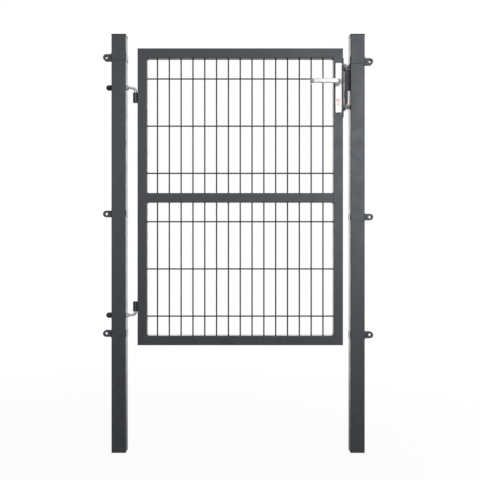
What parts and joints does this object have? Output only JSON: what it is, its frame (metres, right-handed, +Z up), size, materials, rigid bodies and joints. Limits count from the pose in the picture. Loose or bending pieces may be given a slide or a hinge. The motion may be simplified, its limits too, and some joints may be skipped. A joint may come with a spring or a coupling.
{
  "type": "garden gate",
  "caption": "Single-leaf garden gate: welded mesh in a square tube frame, hung between two square posts on bent-rod hinges, with a lever-handled mortise lock and fence clamps.",
  "frame": {"origin": "the middle of the hinge post's foot, on the middle plane of leaf and posts", "axes": "X from the hinge post to the latch post, Y to the rear (the leaf opens to -Y), Z up"},
  "size_m": [1.141, 0.1233, 1.758],
  "materials": {
    "anthracite_powder_coat": "satin powder coat, fine orange peel",
    "black_plastic": "fine moulded texture",
    "black_rubber": "matt",
    "silver_aluminium": "silver anodised, satin",
    "satin_brass": "satin nickel-washed brass",
    "dark_coated_steel": "dark satin coating",
    "zinc_steel": "bright zinc plating",
    "spring_steel": "oiled spring wire"
  },
  "bodies": {
    "posts": {"hinge_post_tube": "anthracite_powder_coat", "hinge_post_cap": "black_plastic", "hinge_post_foot_plug": "black_plastic", "latch_post_tube": "anthracite_powder_coat", "latch_post_cap": "black_plastic", "latch_post_foot_plug": "black_plastic", "upper_hinge_rod": "zinc_steel", "lower_hinge_rod": "zinc_steel", "hinge_inner_washers": "zinc_steel", "hinge_inner_nuts": "zinc_steel", "hinge_outer_washers": "zinc_steel", "hinge_outer_nuts": "zinc_steel", "hinge_nut_caps": "black_plastic", "hinge_post_upper_clamp": "anthracite_powder_coat", "hinge_post_middle_clamp": "anthracite_powder_coat", "hinge_post_lower_clamp": "anthracite_powder_coat", "latch_post_upper_clamp": "anthracite_powder_coat", "latch_post_middle_clamp": "anthracite_powder_coat", "latch_post_lower_clamp": "anthracite_powder_coat", "strike_keeper": "dark_coated_steel", "strike_latch_pocket": "dark_coated_steel", "strike_screws": "zinc_steel", "strike_spacer_bushes": "dark_coated_steel", "strike_lock_nuts": "zinc_steel", "post_rivet_nuts": "zinc_steel", "stop_buffers": "black_rubber"},
    "leaf": {"leaf_hinge_stile": "anthracite_powder_coat", "leaf_latch_stile": "anthracite_powder_coat", "leaf_top_rail": "anthracite_powder_coat", "leaf_bottom_rail": "anthracite_powder_coat", "leaf_mid_rail": "anthracite_powder_coat", "upper_mesh_uprights": "anthracite_powder_coat", "upper_mesh_crosswires": "anthracite_powder_coat", "lower_mesh_uprights": "anthracite_powder_coat", "lower_mesh_crosswires": "anthracite_powder_coat", "upper_hinge_sleeve": "anthracite_powder_coat", "lower_hinge_sleeve": "anthracite_powder_coat", "lock_case": "zinc_steel", "lock_forend": "dark_coated_steel", "forend_screws": "zinc_steel", "cylinder_fixing_screw": "zinc_steel", "front_cover_plate": "silver_aluminium", "rear_cover_plate": "silver_aluminium", "cover_plate_screws": "zinc_steel", "cover_plate_sleeve_nuts": "zinc_steel", "cylinder_body": "satin_brass"},
    "handle": {"front_lever": "silver_aluminium", "rear_spindle_collar": "silver_aluminium", "spindle": "zinc_steel", "spindle_set_screws": "zinc_steel", "follower": "zinc_steel", "handle_spring": "spring_steel"},
    "latch": {"latch_bolt": "zinc_steel", "latch_spring": "spring_steel"},
    "key_barrel": {"front_key_plug": "satin_brass", "cylinder_cam": "satin_brass"},
    "rear_key_barrel": {"rear_key_plug": "satin_brass"},
    "bolt": {"dead_bolt": "zinc_steel"}
  },
  "joints": [
    {"name": "leaf_swing", "type": "hinge", "parent": "posts", "child": "leaf", "pos_m": [0.0674, 0, 1], "axis": [0, 0, -1], "range_deg": [0, 100]},
    {"name": "handle_turn", "type": "hinge", "parent": "leaf", "child": "handle", "pos_m": [0.923, 0, 1.552], "axis": [0, -1, 0], "range_deg": [0, 40], "stiffness_Nm_per_rad": 2, "springref_deg": -28.65},
    {"name": "latch_slide", "type": "slide", "parent": "leaf", "child": "latch", "axis": [-1, 0, 0], "range_m": [0, 0.012], "deforming": ["latch_spring"]},
    {"name": "key_turn", "type": "hinge", "parent": "leaf", "child": "key_barrel", "pos_m": [0.923, 0, 1.48], "axis": [0, 1, 0], "range_deg": [0, 360]},
    {"name": "rear_key_turn", "type": "hinge", "parent": "leaf", "child": "rear_key_barrel", "pos_m": [0.923, 0, 1.48], "axis": [0, 1, 0], "range_deg": [0, 360]},
    {"name": "dead_bolt_slide", "type": "slide", "parent": "leaf", "child": "bolt", "axis": [1, 0, 0], "range_m": [0, 0.02]}
  ],
  "couplings": [
    {"joint": "latch_slide", "follows": "handle_turn", "m_per_rad": 0.017188},
    {"joint": "key_turn", "follows": "dead_bolt_slide", "rad_per_m": 314.16}
  ]
}
